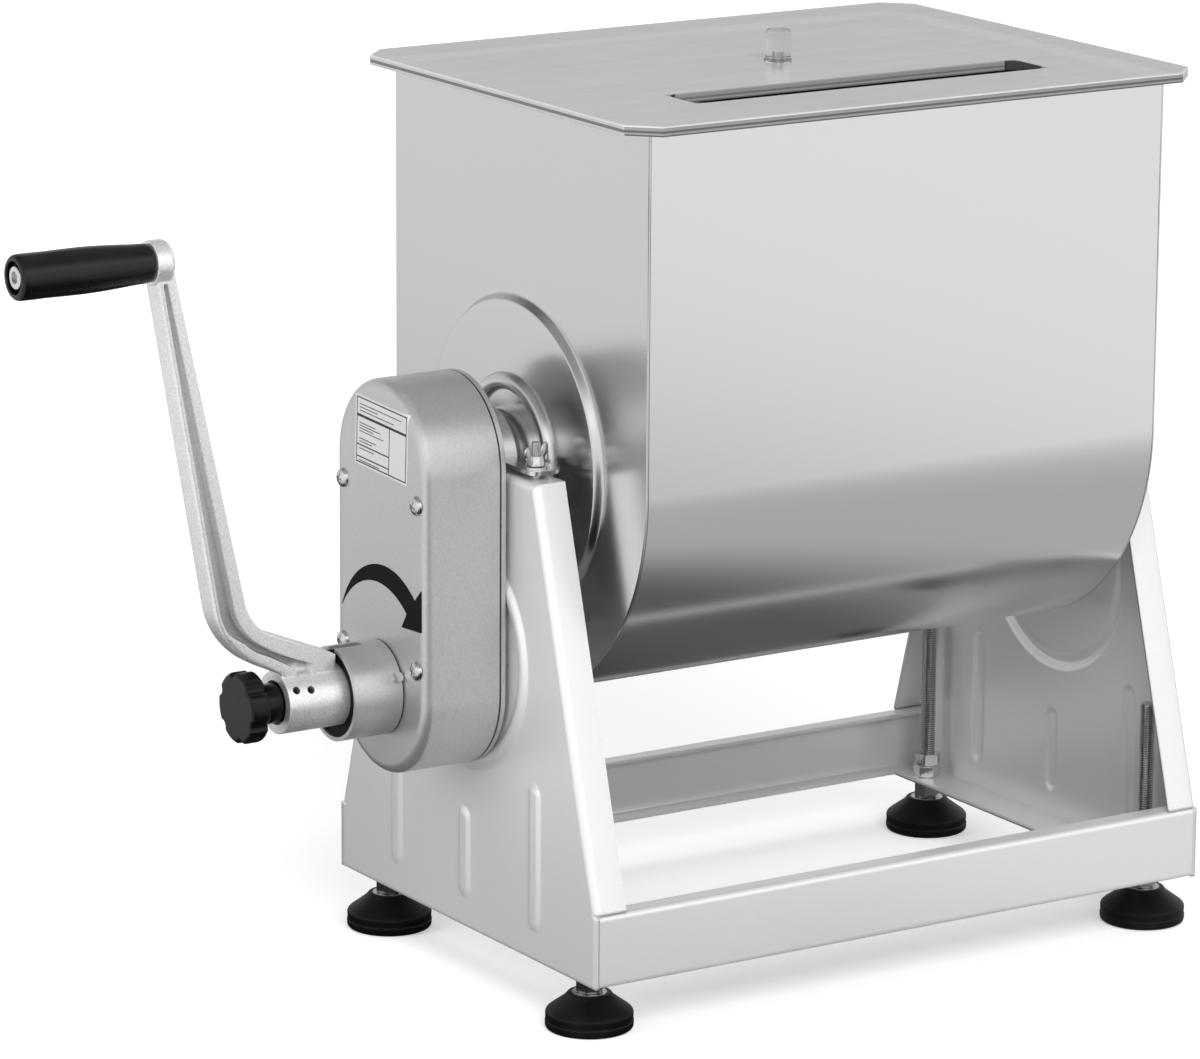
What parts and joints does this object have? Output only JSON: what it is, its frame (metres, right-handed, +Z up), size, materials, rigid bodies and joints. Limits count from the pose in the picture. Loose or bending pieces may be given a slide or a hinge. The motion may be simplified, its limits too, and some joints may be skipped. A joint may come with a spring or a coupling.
{
  "type": "manual meat mixer",
  "caption": "Hand cranked meat mixer: a round bottomed steel tank with a clear lid hangs in a sheet steel stand, and a geared crank turns paddles inside it.",
  "frame": {"origin": "on the surface it stands on, midway between the four feet", "axes": "+X along the paddle shaft, away from the crank; -Y towards the broad front of the picture; +Z up"},
  "size_m": [0.6303, 0.268, 0.4748],
  "materials": {
    "tank_steel": "brushed",
    "end_steel": "fine matt",
    "stand_paint": "silver paint, satin",
    "gearbox_paint": "fine textured silver paint",
    "crank_casting": "bright cast, fine grain",
    "zinc_steel": "zinc plated",
    "gear_steel": "machined, greased",
    "bronze": "turned",
    "black_plastic": "moulded, fine texture",
    "rubber": "moulded",
    "clear_lid": "clear acrylic, polished edges",
    "label": "satin film",
    "print": "matt print"
  },
  "bodies": {
    "stand": {"stand_plate_left": "stand_paint", "stand_plate_right": "stand_paint", "front_rail": "stand_paint", "rear_rail": "stand_paint", "cradle_left": "stand_paint", "cradle_right": "stand_paint", "clamp_studs": "zinc_steel", "strap_left": "zinc_steel", "strap_right": "zinc_steel", "clamp_washers": "zinc_steel", "foot_nuts": "zinc_steel", "gearbox_back_plate": "gearbox_paint", "gearbox_cover": "gearbox_paint", "gearbox_screws": "zinc_steel", "gearbox_posts": "gear_steel", "gearbox_fixings": "zinc_steel", "crank_collar": "gearbox_paint", "collar_liner": "black_plastic", "collar_screw": "zinc_steel", "input_bush": "bronze", "idler_axle": "gear_steel", "rating_plate": "label", "direction_arrow": "print"},
    "tank": {"tank_wrap": "tank_steel", "tank_end_left": "end_steel", "tank_end_right": "end_steel", "neck_left": "end_steel", "neck_right": "end_steel", "shaft_bushes": "bronze", "shaft_seals": "rubber"},
    "lid": {"lid_panel": "clear_lid", "lid_knob": "clear_lid", "lid_knob_screw": "zinc_steel"},
    "crank": {"crank_arm": "crank_casting", "input_shaft": "gear_steel", "pinion": "gear_steel", "grip_spindle": "zinc_steel"},
    "grip": {"grip": "black_plastic"},
    "lobe_knob": {"lobe_knob": "black_plastic", "knob_stud": "zinc_steel"},
    "idler": {"idler_gear": "gear_steel"},
    "paddle_rotor": {"paddle_shaft": "tank_steel", "drive_gear": "gear_steel", "paddle_1": "tank_steel", "paddle_2": "tank_steel", "paddle_3": "tank_steel", "paddle_4": "tank_steel"},
    "foot_front_left": {"foot_pad_front_left": "rubber", "foot_stem_front_left": "zinc_steel"},
    "wing_nut_front_left": {"wing_nut_front_left": "zinc_steel"},
    "foot_front_right": {"foot_pad_front_right": "rubber", "foot_stem_front_right": "zinc_steel"},
    "wing_nut_front_right": {"wing_nut_front_right": "zinc_steel"},
    "foot_rear_left": {"foot_pad_rear_left": "rubber", "foot_stem_rear_left": "zinc_steel"},
    "wing_nut_rear_left": {"wing_nut_rear_left": "zinc_steel"},
    "foot_rear_right": {"foot_pad_rear_right": "rubber", "foot_stem_rear_right": "zinc_steel"},
    "wing_nut_rear_right": {"wing_nut_rear_right": "zinc_steel"}
  },
  "joints": [
    {"name": "tank_tilt", "type": "hinge", "parent": "stand", "child": "tank", "pos_m": [0, 0, 0.2715], "axis": [1, 0, 0], "range_deg": [-90, 90]},
    {"name": "lid_lift", "type": "slide", "parent": "tank", "child": "lid", "axis": [0, 0, 1], "range_m": [0, 0.15]},
    {"name": "crank_turn", "type": "hinge", "parent": "stand", "child": "crank", "pos_m": [0, 0, 0.1615], "axis": [1, 0, 0], "continuous": true},
    {"name": "grip_spin", "type": "hinge", "parent": "crank", "child": "grip", "pos_m": [0, 0, 0.39], "axis": [1, 0, 0], "continuous": true},
    {"name": "knob_turn", "type": "hinge", "parent": "crank", "child": "lobe_knob", "pos_m": [0, 0, 0.1615], "axis": [1, 0, 0], "continuous": true},
    {"name": "idler_turn", "type": "hinge", "parent": "stand", "child": "idler", "pos_m": [0, 0, 0.2105], "axis": [1, 0, 0], "continuous": true},
    {"name": "paddle_turn", "type": "hinge", "parent": "stand", "child": "paddle_rotor", "pos_m": [0, 0, 0.2715], "axis": [1, 0, 0], "continuous": true},
    {"name": "foot_front_left_extend", "type": "slide", "parent": "stand", "child": "foot_front_left", "axis": [0, 0, -1], "range_m": [0, 0.06]},
    {"name": "foot_front_right_extend", "type": "slide", "parent": "stand", "child": "foot_front_right", "axis": [0, 0, -1], "range_m": [0, 0.06]},
    {"name": "foot_rear_left_extend", "type": "slide", "parent": "stand", "child": "foot_rear_left", "axis": [0, 0, -1], "range_m": [0, 0.06]},
    {"name": "foot_rear_right_extend", "type": "slide", "parent": "stand", "child": "foot_rear_right", "axis": [0, 0, -1], "range_m": [0, 0.06]},
    {"name": "wing_nut_front_left_turn", "type": "hinge", "parent": "stand", "child": "wing_nut_front_left", "pos_m": [-0.176, -0.052, 0.28], "axis": [0, 0, 1], "continuous": true},
    {"name": "wing_nut_front_right_turn", "type": "hinge", "parent": "stand", "child": "wing_nut_front_right", "pos_m": [0.176, -0.052, 0.28], "axis": [0, 0, 1], "continuous": true},
    {"name": "wing_nut_rear_left_turn", "type": "hinge", "parent": "stand", "child": "wing_nut_rear_left", "pos_m": [-0.176, 0.052, 0.28], "axis": [0, 0, 1], "continuous": true},
    {"name": "wing_nut_rear_right_turn", "type": "hinge", "parent": "stand", "child": "wing_nut_rear_right", "pos_m": [0.176, 0.052, 0.28], "axis": [0, 0, 1], "continuous": true}
  ],
  "couplings": [
    {"joint": "idler_turn", "follows": "crank_turn", "ratio": -0.48485},
    {"joint": "paddle_turn", "follows": "crank_turn", "ratio": 0.57143}
  ]
}
